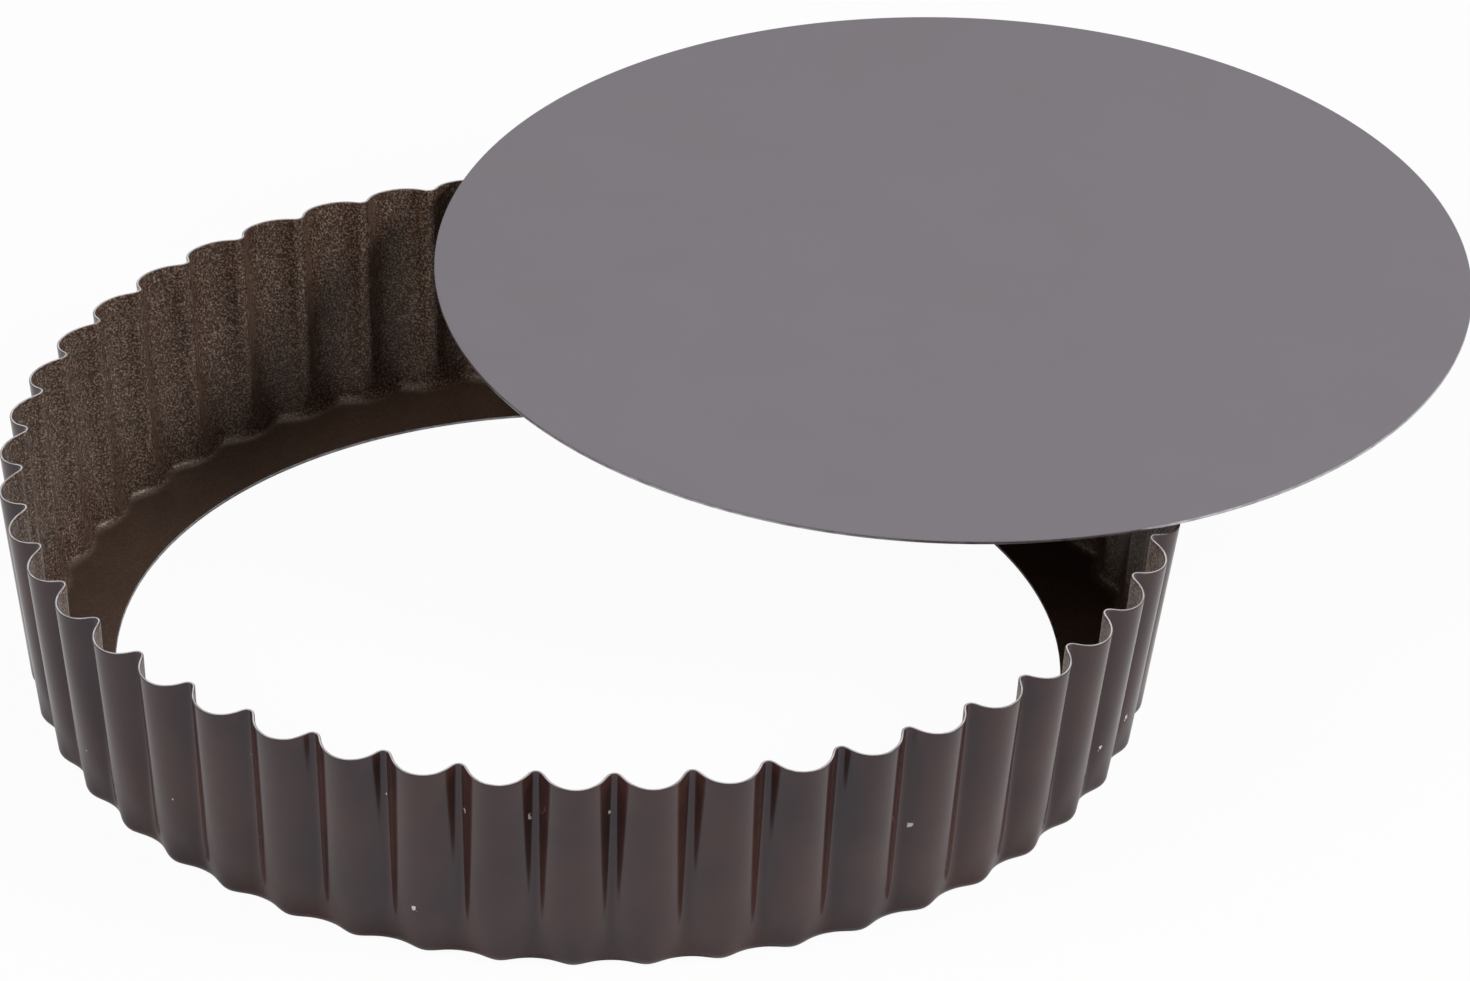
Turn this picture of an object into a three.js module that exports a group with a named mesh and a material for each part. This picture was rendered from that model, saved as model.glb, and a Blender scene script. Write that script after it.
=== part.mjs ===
// Deep fluted tart pan: a fluted steel ring with an inward flange round its foot, and a loose flat base.
// The base lies across the rim, shifted towards the back right, as it is left when the two are set down.
// Millimetres, +Z up. The front of the pan faces -Y, and lobes of the ring lie on the X and Y axes.
import * as THREE from "three";
import { ParametricGeometry } from "three/addons/geometries/ParametricGeometry.js";
import { mergeVertices } from "three/addons/utils/BufferGeometryUtils.js";

// Ring
const rimRadius = 125; // to the outside of the lobes at the rim
const footRadius = 118.3; // to the same lobes where the line of the wall meets the floor
const lobeHeight = 47.8; // of the rim at the lobes
const tipRise = 1.2; // how far the rim at the inward tips stands above that
const sheetThickness = 0.6;
const cornerRadius = 2.6; // outside of the bend from wall to flange
const flangeLap = 12.2; // how far the seated base overlaps the flange

// Flutes
const fluteCount = 48;
const rimFluteDepth = 4.7; // from the lobes to the inward tips
const footFluteDepth = 1.9;
const footValley = 0.12; // widens the valleys between the soft lobes of the foot, as a share of their depth
const tipRadius = 1.3; // of the groove outside a tip, at the rim
const flankAngle = THREE.MathUtils.degToRad(51); // steepest slope between a lobe and a tip

// Loose base
const baseThickness = 0.8;
const baseEdgeBreak = 0.2; // chamfer round the cut edge
const seatClearance = 1; // all round the base when it lies on the flange

// Place of the base on the rim
const baseOverhang = 101.05; // how far its edge reaches past the lobes
const baseDirection = THREE.MathUtils.degToRad(47.65); // of its shift, from +X
const restGap = 0.3; // between the rim and the underside of the base

// Facets
const stepsPerFlute = 8;
const tipCrowding = 0.4; // draws the steps of a flute towards its tip, from 0 to 1
const bendSteps = 2;
const baseSides = 144;

const panHeight = lobeHeight + tipRise;

// The seat is the flat of the flange, as far out as the bend below the tips.
const seatRadius = footRadius - footFluteDepth - cornerRadius;
const baseRadius = seatRadius - seatClearance;
const holeRadius = baseRadius - flangeLap;

// One flute, half a pitch long: a lobe arc, a straight flank and a tip arc, each tangent to the next.
const halfPitch = (Math.PI * (rimRadius - rimFluteDepth / 2)) / fluteCount;
const slope = Math.min(flankAngle, 2 * Math.atan(rimFluteDepth / halfPitch));
const arcSum =
  (halfPitch * Math.sin(slope) - rimFluteDepth * Math.cos(slope)) / (1 - Math.cos(slope));
const lobeRadius = arcSum - tipRadius;

// How far in the wall lies at a phase of the flute, from 0 on a lobe to 1 on a tip.
function wave(phase) {
  const fromLobe = (halfPitch * Math.acos(Math.cos(phase))) / Math.PI;
  const fromTip = halfPitch - fromLobe;
  const lobeEnd = lobeRadius * Math.sin(slope);
  const lobeDrop = (x) => lobeRadius - Math.sqrt(lobeRadius ** 2 - x ** 2);
  if (fromLobe <= lobeEnd) {
    return lobeDrop(fromLobe) / rimFluteDepth;
  }
  if (fromTip <= tipRadius * Math.sin(slope)) {
    return 1 - (tipRadius - Math.sqrt(tipRadius ** 2 - fromTip ** 2)) / rimFluteDepth;
  }
  return (lobeDrop(lobeEnd) + (fromLobe - lobeEnd) * Math.tan(slope)) / rimFluteDepth;
}

// Radius of the outside of the wall, which runs in straight lines from the waves of the foot to the rim.
function wallRadius(angle, height) {
  const phase = fluteCount * angle;
  const footWave = (1 - Math.cos(phase)) / 2 + footValley * Math.sin(phase) ** 2;
  const foot = footRadius - footFluteDepth * footWave;
  const rim = rimRadius - rimFluteDepth * wave(phase);
  return THREE.MathUtils.lerp(foot, rim, height / lobeHeight);
}

// The point at a height, set in from the outside of the wall by a depth square to the fluted outline.
function wallPoint(angle, height, inset, target) {
  const step = 1e-4;
  const radius = wallRadius(angle, height);
  const turn = (wallRadius(angle + step, height) - wallRadius(angle - step, height)) / (2 * step);
  const normalAngle = angle - Math.atan2(turn, radius);
  return target.set(
    radius * Math.cos(angle) - inset * Math.cos(normalAngle),
    radius * Math.sin(angle) - inset * Math.sin(normalAngle),
    height,
  );
}

// Cross-section of the sheet as (inset from the outside of the wall, height), once round.
function sheetSection() {
  const holeInset = footRadius - holeRadius;
  const innerBend = cornerRadius - sheetThickness;
  const section = new THREE.Path();
  section.moveTo(0, lobeHeight);
  section.lineTo(0, cornerRadius);
  section.absarc(cornerRadius, cornerRadius, cornerRadius, Math.PI, 1.5 * Math.PI, false);
  section.lineTo(holeInset, 0);
  section.lineTo(holeInset, sheetThickness);
  section.absarc(cornerRadius, cornerRadius, innerBend, 1.5 * Math.PI, Math.PI, true);
  section.lineTo(sheetThickness, lobeHeight);
  return section.getPoints(bendSteps / 2); // an arc gets two divisions for each one asked for
}

// The section carried round the flutes. Past the bend only the hole's edge is left, which is round.
function ringGeometry() {
  const section = sheetSection();
  const steps = fluteCount * stepsPerFlute;
  const place = (along, around, target) => {
    const { x: inset, y: height } = section[Math.round(along * section.length) % section.length];
    const phase = 2 * Math.PI * fluteCount * around;
    const angle = (phase + tipCrowding * Math.sin(phase)) / fluteCount;
    if (inset <= cornerRadius) {
      wallPoint(angle, height, inset, target);
    } else {
      target.set(holeRadius * Math.cos(angle), holeRadius * Math.sin(angle), height);
    }
    if (height === lobeHeight) {
      target.z += tipRise * wave(fluteCount * angle);
    }
  };
  const grid = new ParametricGeometry(place, section.length, steps);
  grid.deleteAttribute("normal");
  grid.deleteAttribute("uv");
  const ring = mergeVertices(grid);
  ring.computeVertexNormals();
  return ring;
}

// A flat disc with its cut edge broken, turned about +Z from its underside up.
function baseGeometry() {
  const shoulder = baseRadius - baseEdgeBreak;
  const profile = [
    new THREE.Vector2(0, 0),
    new THREE.Vector2(shoulder, 0),
    new THREE.Vector2(baseRadius, baseEdgeBreak),
    new THREE.Vector2(baseRadius, baseThickness - baseEdgeBreak),
    new THREE.Vector2(shoulder, baseThickness),
    new THREE.Vector2(0, baseThickness),
  ];
  return new THREE.LatheGeometry(profile, baseSides).rotateX(Math.PI / 2);
}

const ringCoat = new THREE.MeshStandardMaterial({ color: 0x463e40, roughness: 0.3, metalness: 0.2 });
const fluted_ring = new THREE.Mesh(ringGeometry(), ringCoat);
fluted_ring.name = "fluted_ring";

const baseCoat = new THREE.MeshStandardMaterial({ color: 0x827c83, roughness: 0.45, metalness: 0.2 });
const loose_base = new THREE.Mesh(baseGeometry(), baseCoat);
loose_base.name = "loose_base";
const baseShift = rimRadius + baseOverhang - baseRadius;
loose_base.position.set(
  baseShift * Math.cos(baseDirection),
  baseShift * Math.sin(baseDirection),
  panHeight + restGap,
);

// The origin is on the floor, under the middle of the space that the ring and the base take up together.
const pan = new THREE.Group();
pan.add(fluted_ring, loose_base);
const middle = new THREE.Box3().setFromObject(pan).getCenter(new THREE.Vector3());
pan.position.set(-middle.x, -middle.y, 0);

const tartPan = new THREE.Group();
tartPan.add(pan);

export default tartPan;
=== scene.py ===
# Deep fluted tart pan in coated steel sheet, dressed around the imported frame.
# Metres, +Z up, front of the pan towards -Y. Settings are in millimetres and degrees, unless a note says otherwise.
import math

import bpy
import numpy as np
from mathutils import Matrix, Vector


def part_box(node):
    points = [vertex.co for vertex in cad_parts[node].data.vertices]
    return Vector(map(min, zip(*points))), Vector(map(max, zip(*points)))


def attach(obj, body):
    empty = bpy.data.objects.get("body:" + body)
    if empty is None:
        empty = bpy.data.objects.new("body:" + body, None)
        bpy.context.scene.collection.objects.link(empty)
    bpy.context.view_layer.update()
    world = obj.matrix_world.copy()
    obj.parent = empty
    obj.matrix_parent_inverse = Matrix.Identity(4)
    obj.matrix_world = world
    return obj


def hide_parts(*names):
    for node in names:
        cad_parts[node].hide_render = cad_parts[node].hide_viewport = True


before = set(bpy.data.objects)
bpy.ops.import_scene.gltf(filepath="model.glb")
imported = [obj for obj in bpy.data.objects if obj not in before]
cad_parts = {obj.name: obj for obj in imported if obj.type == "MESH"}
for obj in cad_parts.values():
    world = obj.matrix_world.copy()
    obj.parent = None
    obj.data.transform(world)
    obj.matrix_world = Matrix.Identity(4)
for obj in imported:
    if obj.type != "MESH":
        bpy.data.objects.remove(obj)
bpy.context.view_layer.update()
mm = 0.001

# What the frame gives: the ring's axis and outline, and the place of the loose base.
ringLow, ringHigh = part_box("fluted_ring")
ringMiddle = (ringLow + ringHigh) / 2
ringFoot = Vector((ringMiddle.x, ringMiddle.y, 0))  # where the ring's axis meets the table
rimRadius = (ringHigh.x - ringLow.x) / 2
panHeight = ringHigh.z
baseLow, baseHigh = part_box("loose_base")
baseMiddle = (baseLow + baseHigh) / 2
baseRadius = (baseHigh.x - baseLow.x) / 2
print("frame: ring", round(2 * rimRadius / mm, 1), "mm, base", round(2 * baseRadius / mm, 1), "mm")


# sRGB hex colour to the linear values that Blender's sockets take.
def linear(hexColour):
    share = np.array([int(hexColour[i:i + 2], 16) for i in (1, 3, 5)]) / 255
    curve = np.where(share <= 0.04045, share / 12.92, ((share + 0.055) / 1.055) ** 2.4)
    return (*curve.tolist(), 1.0)


# Sets a node's inputs. Each entry of sockets is either a value or the output that is linked to that input.
def setSockets(tree, node, sockets):
    for socket, value in sockets.items():
        if isinstance(value, bpy.types.NodeSocket):
            tree.links.new(value, node.inputs[socket])
        else:
            node.inputs[socket].default_value = value


# Adds a node with its sockets, its own settings, and any colour ramp as stops of (place, hex colour).
def addNode(tree, kind, sockets=None, ramp=(), **settings):
    node = tree.nodes.new("ShaderNode" + kind)
    for key, value in settings.items():
        setattr(node, key, value)
    for stop, (place, colour) in enumerate(ramp):
        stops = node.color_ramp.elements
        element = stops[stop] if stop < len(stops) else stops.new(place)
        element.position, element.color = place, linear(colour)
    setSockets(tree, node, sockets or {})
    return node


# A new material, its node tree and its Principled shader.
def startMaterial(name):
    material = bpy.data.materials.new(name)
    material.use_nodes = True
    return material, material.node_tree, material.node_tree.nodes["Principled BSDF"]


# Outputs that are 1 for what the camera sees directly, and for what is seen in a mirror or through glass.
def seenRays(tree):
    ray = addNode(tree, "LightPath").outputs
    mirrored = addNode(tree, "Math", {0: ray["Is Glossy Ray"], 1: ray["Is Transmission Ray"]}, operation="ADD")
    return ray["Is Camera Ray"], mirrored.outputs[0]


# Grid of points [row, column] as a closed mesh. Cell (i, j) joins rows i, i + 1 and columns j, j + 1, and the
# columns run once round. The rows close on themselves too, or else each end is drawn in to one middle point.
def gridPiece(name, points, finishes, rowFinish, flutes=None, poles=None):
    rows, columns = points.shape[:2]
    cellRows = rows if poles is None else rows - 1
    i, j = np.meshgrid(np.arange(cellRows), np.arange(columns), indexing="ij")
    below, beside = (i + 1) % rows, (j + 1) % columns
    quads = np.stack([i * columns + j, below * columns + j, below * columns + beside, i * columns + beside], -1)
    corners = quads.reshape(-1)
    starts = np.arange(quads[..., 0].size) * 4
    faceFinish = np.repeat(rowFinish[:cellRows], columns)
    vertices = points.reshape(-1, 3)
    if poles is not None:
        around = np.arange(columns)
        beyond = (around + 1) % columns
        first, last = len(vertices), len(vertices) + 1
        fanIn = np.stack([np.full(columns, first), around, beyond], -1)
        end = (rows - 1) * columns
        fanOut = np.stack([end + around, np.full(columns, last), end + beyond], -1)
        starts = np.concatenate([starts, corners.size + 3 * np.arange(2 * columns)])
        corners = np.concatenate([corners, fanIn.reshape(-1), fanOut.reshape(-1)])
        faceFinish = np.concatenate([faceFinish, np.repeat([rowFinish[0], rowFinish[-1]], columns)])
        vertices = np.concatenate([vertices, poles])
    mesh = bpy.data.meshes.new(name)
    mesh.vertices.add(len(vertices))
    mesh.vertices.foreach_set("co", vertices.astype(np.float32).reshape(-1))
    mesh.loops.add(len(corners))
    mesh.loops.foreach_set("vertex_index", corners.astype(np.int32))
    mesh.polygons.add(len(starts))
    mesh.polygons.foreach_set("loop_start", starts.astype(np.int32))
    for finish in finishes:
        mesh.materials.append(finish)
    mesh.polygons.foreach_set("material_index", faceFinish.astype(np.int32))
    mesh.polygons.foreach_set("use_smooth", np.ones(len(starts), bool))
    mesh.update(calc_edges=True)
    if flutes is not None:
        # u counts flutes and goes on past the seam, v is the share of the height
        u = np.stack([flutes[j], flutes[j], flutes[j + 1], flutes[j + 1]], -1)
        rise = points[..., 2] / panHeight
        v = np.stack([rise[i, j], rise[below, j], rise[below, beside], rise[i, beside]], -1)
        layer = mesh.uv_layers.new(name="flutes")
        layer.data.foreach_set("uv", np.stack([u, v], -1).astype(np.float32).reshape(-1))
    mesh.validate()
    piece = bpy.data.objects.new(name, mesh)
    bpy.context.scene.collection.objects.link(piece)
    return piece


# Materials
noiseSpan = (0.35, 0.65)  # most of a noise texture's values lie in here,
wideSpan = (0.3, 0.7)  # and nearly all of them in here

# Non-stick coated steel, smooth side: the coat is rolled on flat sheet and baked, so it is dark brown and glossy,
# mirrors the white table as a cool grey sheen, and has the faintest orange peel. White spots painted beside the inward
# tips a little below the rim are painted highlights, glints of the light; a few white scuffs lower down are wear.
smoothCoat = dict(
    brown="#351c17", brownThin="#442820", glintAndScuffWhite="#dcd6d3", sheen="#e2edfa", ior=1.57,
    patch=22.0,  # size of thick and thin places in the coat
    peel=2.4, peelDepth=0.004,
    roughness=(0.12, 0.18),
    fray=0.6, ragged=(0.5, 1.5),  # size of the notches round a painted glint or a scuff, and how far they change its reach
    # painted highlights: white glints of the light beside the inward tips, a little below the rim
    paintedGlints=dict(seed=3.0, size=0.6, share=0.75, across=(0.40, 0.60), level=(0.74, 0.84), slim=2.1),
    scuffs=dict(seed=41.0, size=0.62, share=0.4, across=(0.05, 0.95), level=(0.15, 0.6), slim=1.4),
)


# Mask of one spot in a share of the flutes. Its place and size come from white noise of the flute's number. Its outline
# is an ellipse, slim times as tall as wide, and ragged changes its reach from point to point.
def spots(tree, flutes, ragged, spot):
    number = addNode(tree, "Math", {0: flutes.outputs["X"]}, operation="FLOOR")
    across = addNode(tree, "Math", {0: flutes.outputs["X"]}, operation="FRACT")
    ticket = addNode(tree, "Math", {0: number.outputs[0], 1: spot["seed"]}, operation="ADD")
    chance = addNode(tree, "TexWhiteNoise", {"W": ticket.outputs[0]}, noise_dimensions="1D")
    draw = addNode(tree, "SeparateColor", {"Color": chance.outputs["Color"]})
    middle = addNode(tree, "MapRange", {"Value": draw.outputs[0], "To Min": spot["across"][0],
                                        "To Max": spot["across"][1]})
    level = addNode(tree, "MapRange", {"Value": draw.outputs[1], "To Min": spot["level"][0],
                                       "To Max": spot["level"][1]})
    sideways = addNode(tree, "Math", {0: across.outputs[0], 1: middle.outputs[0]}, operation="SUBTRACT")
    upwards = addNode(tree, "Math", {0: flutes.outputs["Y"], 1: level.outputs[0]}, operation="SUBTRACT")
    offset = addNode(tree, "CombineXYZ", {"X": sideways.outputs[0], "Y": upwards.outputs[0]})
    pitch = 2 * math.pi * rimRadius / mm / ringShape["fluteCount"]
    real = addNode(tree, "VectorMath", {0: offset.outputs[0], 1: (spot["slim"] * pitch, panHeight / mm, 0)},
                   operation="MULTIPLY")
    away = addNode(tree, "VectorMath", {0: real.outputs[0]}, operation="LENGTH")
    reach = addNode(tree, "Math", {0: away.outputs["Value"], 1: ragged}, operation="MULTIPLY")
    size = addNode(tree, "MapRange", {"Value": draw.outputs[2], "From Min": 1 - spot["share"],
                                      "To Min": 0.0, "To Max": spot["size"]})
    return addNode(tree, "Math", {0: size.outputs[0], 1: reach.outputs[0]}, operation="GREATER_THAN").outputs[0]


def smoothNonStick():
    look = smoothCoat
    material, tree, shader = startMaterial("smooth non-stick coated steel")
    place = addNode(tree, "TexCoord").outputs["Object"]
    patch = addNode(tree, "TexNoise", {"Vector": place, "Scale": 1 / (look["patch"] * mm), "Detail": 3.0})
    brown = addNode(tree, "ValToRGB", {"Fac": patch.outputs["Fac"]},
                    ramp=zip(noiseSpan, (look["brown"], look["brownThin"])))
    gloss = addNode(tree, "MapRange", {"Value": patch.outputs["Fac"],
                                       "From Min": noiseSpan[0], "From Max": noiseSpan[1],
                                       "To Min": look["roughness"][0], "To Max": look["roughness"][1]})
    peel = addNode(tree, "TexNoise", {"Vector": place, "Scale": 1 / (look["peel"] * mm), "Detail": 1.0})
    skin = addNode(tree, "Bump", {"Height": peel.outputs["Fac"], "Distance": look["peelDepth"] * mm})
    flutes = addNode(tree, "SeparateXYZ", {"Vector": addNode(tree, "UVMap", uv_map="flutes").outputs["UV"]})
    fray = addNode(tree, "TexNoise", {"Vector": place, "Scale": 1 / (look["fray"] * mm), "Detail": 1.0})
    ragged = addNode(tree, "MapRange", {"Value": fray.outputs["Fac"],
                                        "From Min": wideSpan[0], "From Max": wideSpan[1],
                                        "To Min": look["ragged"][0], "To Max": look["ragged"][1]})
    # white spots: painted glint highlights beside the tips, together with scuffs of real wear lower down
    paintedGlints, scuffs = (spots(tree, flutes, ragged.outputs[0], look[key]) for key in ("paintedGlints", "scuffs"))
    bare = addNode(tree, "Math", {0: paintedGlints, 1: scuffs}, operation="MAXIMUM")
    colour = addNode(tree, "Mix", {"Factor": bare.outputs[0], 6: brown.outputs["Color"], 7: linear(look["glintAndScuffWhite"])},
                     data_type="RGBA")
    setSockets(tree, shader, {"Base Color": colour.outputs[2], "Roughness": gloss.outputs[0],
                              "Normal": skin.outputs["Normal"], "IOR": look["ior"],
                              "Specular Tint": linear(look["sheen"])})
    return material


# Non-stick coated steel, food side: the coat breaks up into fine grains where the wall was drawn, so it is brown, half
# matt and sparkles a little. On the flange and under the base, which were not drawn, it is nearly smooth.
grainCoat = dict(
    dark="#20130c", brown="#432e24", light="#a59080", stops=(0.32, 0.5, 0.7),  # from the hollows to the crests
    # The flange's brown is darker than the wall's grain on average: partly its smooth, undrawn coat, partly painted
    # shade that offsets the light it gets from above.
    flange="#46342a", sheen="#f8ebde", ior=1.45,
    grain=0.44,  # a little coarser than life, so that it shows
    grainDepth=0.05,
    patch=14.0, shade=(0.88, 1.1),  # size of darker and lighter places, and how far they go
    roughness=(0.24, 0.38), flangeRoughness=0.48,  # crests, hollows and flange
    flangeGrain=0.14, wallFrom=(0.013, 0.03),  # grain left on the flange, and shares of the height where it comes in
)


def granularNonStick():
    look = grainCoat
    material, tree, shader = startMaterial("granular non-stick coated steel")
    place = addNode(tree, "TexCoord").outputs["Object"]
    rise = addNode(tree, "SeparateXYZ", {"Vector": addNode(tree, "UVMap", uv_map="flutes").outputs["UV"]})
    drawn = addNode(tree, "MapRange", {"Value": rise.outputs["Y"], "From Min": look["wallFrom"][0],
                                       "From Max": look["wallFrom"][1], "To Min": look["flangeGrain"]})
    grain = addNode(tree, "TexNoise", {"Vector": place, "Scale": 1 / (look["grain"] * mm), "Detail": 2.0,
                                       "Roughness": 0.7})
    height = addNode(tree, "Mix", {"Factor": drawn.outputs[0], "A": 0.5, "B": grain.outputs["Fac"]})  # 0.5 is level
    wall = addNode(tree, "ValToRGB", {"Fac": grain.outputs["Fac"]},
                   ramp=zip(look["stops"], (look["dark"], look["brown"], look["light"])))
    # the flange and the base's underside take that darker brown, partly painted shade
    brown = addNode(tree, "Mix", {"Factor": drawn.outputs[0], 6: linear(look["flange"]), 7: wall.outputs["Color"]},
                    data_type="RGBA")
    patch = addNode(tree, "TexNoise", {"Vector": place, "Scale": 1 / (look["patch"] * mm), "Detail": 2.0})
    shade = addNode(tree, "MapRange", {"Value": patch.outputs["Fac"],
                                       "From Min": wideSpan[0], "From Max": wideSpan[1],
                                       "To Min": look["shade"][0], "To Max": look["shade"][1]})
    colour = addNode(tree, "VectorMath", {0: brown.outputs[2], "Scale": shade.outputs[0]}, operation="SCALE")
    gloss = addNode(tree, "MapRange", {"Value": height.outputs[0],
                                       "From Min": noiseSpan[0], "From Max": noiseSpan[1],
                                       "To Min": look["roughness"][1], "To Max": look["roughness"][0]})
    matt = addNode(tree, "Mix", {"Factor": drawn.outputs[0], "A": look["flangeRoughness"], "B": gloss.outputs[0]})
    bumps = addNode(tree, "Bump", {"Height": height.outputs[0], "Distance": look["grainDepth"] * mm})
    setSockets(tree, shader, {"Base Color": colour.outputs[0], "Roughness": matt.outputs[0],
                              "Normal": bumps.outputs["Normal"], "IOR": look["ior"],
                              "Specular Tint": linear(look["sheen"])})
    return material


# Bare steel where the sheet was sheared after coating: a thin grey line with fine scores, dulled here and there.
cutSteel = dict(dull="#a3a0a3", bright="#c8c6c9", stops=(0.35, 0.6), score=3.0, roughness=0.35)


def shearedSteel():
    look = cutSteel
    material, tree, shader = startMaterial("sheared bare steel")
    place = addNode(tree, "TexCoord").outputs["Object"]
    score = addNode(tree, "TexNoise", {"Vector": place, "Scale": 1 / (look["score"] * mm), "Detail": 3.0})
    grey = addNode(tree, "ValToRGB", {"Fac": score.outputs["Fac"]},
                   ramp=zip(look["stops"], (look["dull"], look["bright"])))
    setSockets(tree, shader, {"Base Color": grey.outputs["Color"], "Metallic": 1.0, "Roughness": look["roughness"]})
    return material


# Non-stick coated steel, satin: the thin grey coat of the base, rolled on and baked matt, so it is even and soft,
# with only a faint cloudiness and a very fine tooth.
satinCoat = dict(
    grey="#797379", greyThin="#7e787f", ior=1.45, roughness=(0.42, 0.5),
    cloud=26.0, tooth=1.6, toothDepth=0.003,
)


def satinNonStick():
    look = satinCoat
    material, tree, shader = startMaterial("satin non-stick coated steel")
    place = addNode(tree, "TexCoord").outputs["Object"]
    cloud = addNode(tree, "TexNoise", {"Vector": place, "Scale": 1 / (look["cloud"] * mm), "Detail": 4.0})
    grey = addNode(tree, "ValToRGB", {"Fac": cloud.outputs["Fac"]},
                   ramp=zip(noiseSpan, (look["grey"], look["greyThin"])))
    satin = addNode(tree, "MapRange", {"Value": cloud.outputs["Fac"],
                                       "From Min": noiseSpan[0], "From Max": noiseSpan[1],
                                       "To Min": look["roughness"][0], "To Max": look["roughness"][1]})
    tooth = addNode(tree, "TexNoise", {"Vector": place, "Scale": 1 / (look["tooth"] * mm), "Detail": 2.0})
    skin = addNode(tree, "Bump", {"Height": tooth.outputs["Fac"], "Distance": look["toothDepth"] * mm})
    setSockets(tree, shader, {"Base Color": grey.outputs["Color"], "Roughness": satin.outputs[0],
                              "Normal": skin.outputs["Normal"], "IOR": look["ior"]})
    return material


# Fluted ring: one sheet drawn to a flared, fluted wall, a small bend at the foot and an inward flange.
ringShape = dict(
    fluteCount=48, footRadius=118.3, lobeHeight=47.8, rimFluteDepth=4.7, footFluteDepth=1.9,
    footValley=0.12,  # widens the valleys between the soft lobes of the foot, as a share of their depth
    tipRadius=1.3, flankAngle=53.0,
    crispFrom=0.22,  # share of the height above which the flutes keep the rim's wave
    sheet=0.6, cornerRadius=2.6, holeRadius=100.6, edgeRound=0.15,
    samplesPerFlute=26, tipCrowding=0.45,  # points round a flute, and how far they are drawn towards its tip
    wallRows=14, bendRows=8, flangeRows=4, edgeRows=3,
    support=0.5, supportShare=0.3,  # a row this close to each end of a straight, or this share of it if it is short
)


# Share of the flute's depth at a phase, 0 on a lobe and 1 on a tip: a lobe arc, a straight flank and a tip arc,
# each tangent to the next, over half a pitch measured at the middle of the rim's flutes.
def fluteWave(phase):
    depth, tip = ringShape["rimFluteDepth"], ringShape["tipRadius"]
    half = math.pi * (rimRadius / mm - depth / 2) / ringShape["fluteCount"]
    slope = min(math.radians(ringShape["flankAngle"]), 2 * math.atan(depth / half))
    lobe = (half * math.sin(slope) - depth * math.cos(slope)) / (1 - math.cos(slope)) - tip
    lobeEnd, tipEnd = lobe * math.sin(slope), tip * math.sin(slope)
    fromLobe = half * np.arccos(np.cos(phase)) / math.pi
    fromTip = half - fromLobe
    lobeDrop = lobe - np.sqrt(lobe**2 - np.minimum(fromLobe, lobeEnd) ** 2)
    tipDrop = depth - tip + np.sqrt(tip**2 - np.minimum(fromTip, tipEnd) ** 2)
    flank = lobeDrop + (fromLobe - lobeEnd) * math.tan(slope)
    drop = np.where(fromLobe <= lobeEnd, lobeDrop, np.where(fromTip <= tipEnd, tipDrop, flank))
    return drop / depth


# Radius of the outside of the wall. Lobes and tips run in straight lines from foot to rim, and so does the depth of the
# flutes. Their wave is the one of arcs, which softens over the lowest part of the wall to the foot's: a cosine, with a
# share of its squared sine added to widen the valleys.
def wallRadius(angle, height):
    shape = ringShape
    phase, rise = shape["fluteCount"] * angle, height / shape["lobeHeight"]
    footWave = (1 - np.cos(phase)) / 2 + shape["footValley"] * np.sin(phase) ** 2
    crisp = np.clip(rise / shape["crispFrom"], 0, 1)
    crisp = crisp * crisp * (3 - 2 * crisp)  # eased at both ends
    lobe = shape["footRadius"] + (rimRadius / mm - shape["footRadius"]) * rise
    depth = shape["footFluteDepth"] + (shape["rimFluteDepth"] - shape["footFluteDepth"]) * rise
    return lobe - depth * (footWave + (fluteWave(phase) - footWave) * crisp)


# Cross-section of the sheet as (inset from the outside of the wall, height), once round, with the finish of each row.
# It is straight lines joined by arcs: down the outside and in under the flange, round the hole's edge, back over the
# flange, up the inside and over the rim.
def ringSection():
    shape = ringShape
    smooth, granular, bare = range(3)
    top, corner, sheet, edge = (shape[key] for key in ("lobeHeight", "cornerRadius", "sheet", "edgeRound"))
    hole = shape["footRadius"] - shape["holeRadius"]

    def straight(start, end, steps):
        near = min(shape["support"] / math.dist(start, end), shape["supportShare"])
        share = np.concatenate([[0, near], np.linspace(0, 1, steps + 1)[1:-1], [1 - near]])[:, None]
        return np.array(start) * (1 - share) + np.array(end) * share

    def arc(middle, radius, first, last, steps):
        turn = np.radians(np.linspace(first, last, steps + 1)[:-1])
        return np.array(middle) + radius * np.stack([np.cos(turn), np.sin(turn)], -1)

    bends, edges = shape["bendRows"], shape["edgeRows"]
    outside = [straight((0, top - edge), (0, corner), shape["wallRows"]),
               arc((corner, corner), corner, 180, 270, bends),
               straight((corner, 0), (hole - edge, 0), shape["flangeRows"])]
    holeEdge = [arc((hole - edge, edge), edge, 270, 360, edges),
                arc((hole - edge, sheet - edge), edge, 0, 90, edges)]
    inside = [straight((hole - edge, sheet), (corner, sheet), shape["flangeRows"]),
              arc((corner, corner), corner - sheet, 270, 180, bends),
              straight((sheet, corner), (sheet, top - edge), shape["wallRows"]),
              arc((sheet - edge, top - edge), edge, 0, 90, edges)]
    rimTop = [straight((sheet - edge, top), (edge, top), 1)]
    rimOutside = [arc((edge, top - edge), edge, 90, 180, edges)]
    parts = [(smooth, outside), (bare, holeEdge), (granular, inside), (bare, rimTop), (smooth, rimOutside)]
    section = np.concatenate([rows for finish, lists in parts for rows in lists])
    rowFinish = np.concatenate([np.full(sum(map(len, lists)), finish) for finish, lists in parts])
    return section, rowFinish


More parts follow.
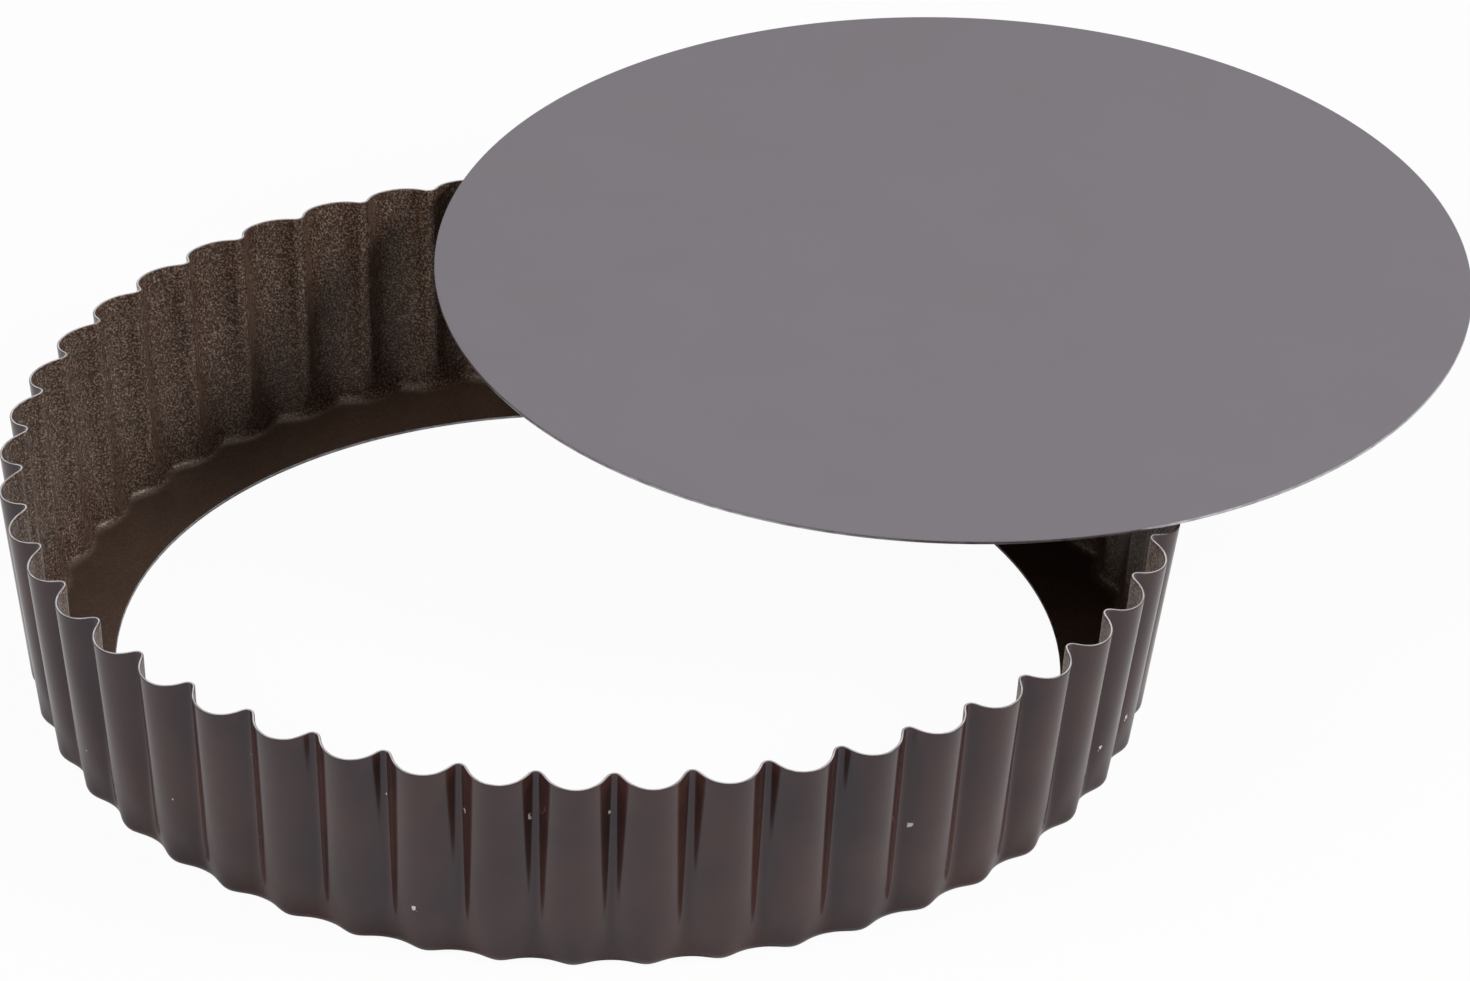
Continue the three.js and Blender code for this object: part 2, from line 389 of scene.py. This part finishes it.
# The section carried round the flutes. A point is set in from the outside of the wall square to the fluted outline.
# Past the bend it moves in a straight line from there to the round edge of the hole. Above the bend it is raised in
# step with its height, until the tips of the rim stand as far above the lobes as the frame says.
def flutedRing():
    shape = ringShape
    section, rowFinish = ringSection()
    inset, height = section[:, :1], section[:, 1:]
    corner = shape["cornerRadius"]
    columns = shape["fluteCount"] * shape["samplesPerFlute"]
    phase = 2 * math.pi * np.arange(columns + 1) / shape["samplesPerFlute"]
    turns = (phase + shape["tipCrowding"] * np.sin(phase)) / shape["fluteCount"]
    angle = turns[None, :-1]
    step = 1e-5  # radians to each side, to find how the outline turns
    radius = wallRadius(angle, height)
    rate = (wallRadius(angle + step, height) - wallRadius(angle - step, height)) / (2 * step)
    facing = angle - np.arctan2(rate, radius)
    depth = np.minimum(inset, corner)
    x = radius * np.cos(angle) - depth * np.cos(facing)
    y = radius * np.sin(angle) - depth * np.sin(facing)
    share = np.clip((inset - corner) / (shape["footRadius"] - shape["holeRadius"] - corner), 0, 1)
    x = x * (1 - share) + shape["holeRadius"] * np.cos(angle) * share
    y = y * (1 - share) + shape["holeRadius"] * np.sin(angle) * share
    climb = np.clip((height - corner) / (shape["lobeHeight"] - corner), 0, 1)
    z = height + climb * (panHeight / mm - shape["lobeHeight"]) * fluteWave(shape["fluteCount"] * angle)
    points = np.stack([x * mm + ringMiddle.x, y * mm + ringMiddle.y, z * mm], -1)
    flutes = turns * shape["fluteCount"] / (2 * math.pi)
    return gridPiece("flutedRing", points, [smoothSide, foodSide, bareSteel], rowFinish, flutes=flutes)


smoothSide, foodSide, bareSteel = smoothNonStick(), granularNonStick(), shearedSteel()
ring = flutedRing()
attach(ring, "ring")
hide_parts("fluted_ring")
print("fluted ring:", len(ring.data.polygons), "faces")


# Loose base: a flat disc cut from coated sheet, bare along its sheared edge, which is slightly rounded.
baseShape = dict(
    edgeRound=0.15, edgeRows=4, sides=360,
    rings=(2.0, 40.0, 80.0, 108.0),  # radii of the rows across each face
    support=0.5,  # and a last row this close to the edge
)


# A profile of (radius, height) turned about the middle of the base: out along the underside, round the edge, back in.
# The underside has the ring's food-side coat, and the steel is bare up to the foot of the upper rounding.
def looseBase():
    shape = baseShape
    satin, granular, bare = range(3)
    thick = (baseHigh.z - baseLow.z) / mm
    edge, outer = shape["edgeRound"], baseRadius / mm
    rings = np.array([*shape["rings"], outer - edge - shape["support"]])
    flat = np.stack([rings, np.zeros(len(rings))], -1)
    quarter = np.radians(np.linspace(-90, 0, shape["edgeRows"] + 1))
    lower = np.stack([outer - edge + edge * np.cos(quarter), edge + edge * np.sin(quarter)], -1)
    upper = lower[::-1] * (1, -1) + (0, thick)
    profile = np.concatenate([flat, lower, upper, flat[::-1] + (0, thick)])
    rowFinish = np.repeat([granular, bare, satin, satin], [len(flat), len(lower), len(upper), len(flat)])
    turn = 2 * math.pi * np.arange(shape["sides"]) / shape["sides"]
    radius, height = profile[:, :1] * mm, profile[:, 1:] * mm
    points = np.stack([baseMiddle.x + radius * np.cos(turn), baseMiddle.y + radius * np.sin(turn),
                       np.broadcast_to(baseLow.z + height, (len(profile), shape["sides"]))], -1)
    poles = np.array([[baseMiddle.x, baseMiddle.y, z] for z in (baseLow.z, baseHigh.z)])
    return gridPiece("looseBase", points, [satinNonStick(), foodSide, bareSteel], rowFinish, poles=poles)


base = looseBase()
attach(base, "base")
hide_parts("loose_base")
print("loose base:", len(base.data.polygons), "faces")


# White table, wide enough to reach the horizon. The camera sees it mostly as plain white. The coats mirror a share of
# that white, about half round the ring and less through its hole, and none under the flange. The rest of what they and
# the camera see is the table's own shading, so the shadow stays.
table = dict(
    size=30.0,  # metres
    drop=0.02,  # a hair below the foot, so that no two faces lie in one plane
    colour="#f4f4f4", roughness=0.9, plainWhite=0.955,
    round=dict(mirrored=0.55, none=118.0, all=126.0),  # radii where the mirrored white starts and is all there
    hole=dict(mirrored=0.38, none=101.0, all=93.0),
)


def whiteTable():
    size, z = table["size"], -table["drop"] * mm
    mesh = bpy.data.meshes.new("whiteTable")
    mesh.from_pydata([(-size, -size, z), (size, -size, z), (size, size, z), (-size, size, z)], [], [(0, 1, 2, 3)])
    material, tree, shader = startMaterial("white laminate table")
    setSockets(tree, shader, {"Base Color": linear(table["colour"]), "Roughness": table["roughness"],
                              "Specular IOR Level": 0.0})
    plain = addNode(tree, "Emission", {"Color": (1, 1, 1, 1), "Strength": 1.0})
    direct, mirrored = seenRays(tree)
    seen = addNode(tree, "Math", {0: direct, 1: table["plainWhite"]}, operation="MULTIPLY")
    place = addNode(tree, "TexCoord").outputs["Object"]
    away = addNode(tree, "VectorMath", {0: place, 1: ringFoot}, operation="DISTANCE")
    outside, inside = (addNode(tree, "MapRange", {"Value": away.outputs["Value"], "From Min": zone["none"] * mm,
                                                  "From Max": zone["all"] * mm, "To Max": zone["mirrored"]})
                       for zone in (table["round"], table["hole"]))
    clear = addNode(tree, "Math", {0: outside.outputs[0], 1: inside.outputs[0]}, operation="ADD")
    share = addNode(tree, "Math", {0: mirrored, 1: clear.outputs[0], 2: seen.outputs[0]}, operation="MULTIPLY_ADD")
    both = addNode(tree, "MixShader", {0: share.outputs[0], 1: shader.outputs[0], 2: plain.outputs[0]})
    tree.links.new(both.outputs[0], tree.nodes["Material Output"].inputs["Surface"])
    mesh.materials.append(material)
    floor = bpy.data.objects.new("whiteTable", mesh)
    bpy.context.scene.collection.objects.link(floor)


whiteTable()


# Studio light: a pale room all round, a bright soft box high on the right, and a weaker one on the left. The room looks
# white to the camera and in mirrors. Sizes and places from the ring's foot are in metres.
studio = dict(
    room=0.2,  # strength of the light from all round
    boxes=dict(key=dict(size=0.6, watts=17.0, place=(1.33, -0.42, 1.01)),
               fill=dict(size=0.8, watts=12.5, place=(-1.2, -0.66, 1.1))),
)


def studioLight():
    world = bpy.data.worlds.new("pale room")
    bpy.context.scene.world = world
    world.use_nodes = True
    tree = world.node_tree
    room = tree.nodes["Background"]
    setSockets(tree, room, {"Color": (1, 1, 1, 1), "Strength": studio["room"]})
    white = addNode(tree, "Background", {"Color": (1, 1, 1, 1), "Strength": 1.0})
    direct, mirrored = seenRays(tree)
    seen = addNode(tree, "Math", {0: direct, 1: mirrored}, operation="ADD")
    both = addNode(tree, "MixShader", {0: seen.outputs[0], 1: room.outputs[0], 2: white.outputs[0]})
    tree.links.new(both.outputs[0], tree.nodes["World Output"].inputs["Surface"])
    for name, box in studio["boxes"].items():
        lamp = bpy.data.lights.new(name, "AREA")
        lamp.shape, lamp.size, lamp.energy = "SQUARE", box["size"], box["watts"]
        holder = bpy.data.objects.new(name, lamp)
        holder.location = ringFoot + Vector(box["place"])
        holder.rotation_euler = (ringFoot - holder.location).to_track_quat("-Z", "Y").to_euler()
        bpy.context.scene.collection.objects.link(holder)


studioLight()


# Camera matched to the picture: it stands in front of the ring's axis, looks down by pitch, and is turned a little to
# the right and tipped. The whole set-up is turned about the axis so that the flutes fall where they do in the picture.
viewpoint = dict(
    imageSize=(1470, 981), focalPixels=10829.4,  # pixels of the picture
    back=1951.36, height=1236.59, pitch=31.4525, yaw=0.8908, roll=-1.4335, turn=-1.0769,
    sensor=36.0, farthest=100.0,  # farthest distance seen, in metres
)


def pictureCamera():
    camera = bpy.data.cameras.new("pictureCamera")
    camera.sensor_width = viewpoint["sensor"]
    camera.lens = viewpoint["sensor"] * viewpoint["focalPixels"] / viewpoint["imageSize"][0]
    camera.clip_end = viewpoint["farthest"]
    holder = bpy.data.objects.new("pictureCamera", camera)
    pitch, yaw, roll, turn = (math.radians(viewpoint[key]) for key in ("pitch", "yaw", "roll", "turn"))
    stand = Matrix.Rotation(-turn, 4, "Z") @ Vector((0, -viewpoint["back"] * mm, viewpoint["height"] * mm))
    look = (Matrix.Rotation(-turn - yaw, 4, "Z") @ Matrix.Rotation(math.pi / 2 - pitch, 4, "X")
            @ Matrix.Rotation(-roll, 4, "Z"))
    holder.matrix_world = Matrix.Translation(stand + ringFoot) @ look
    bpy.context.scene.collection.objects.link(holder)
    bpy.context.scene.camera = holder


pictureCamera()
bpy.context.scene.view_settings.view_transform = "Standard"
print("table, light and camera set")
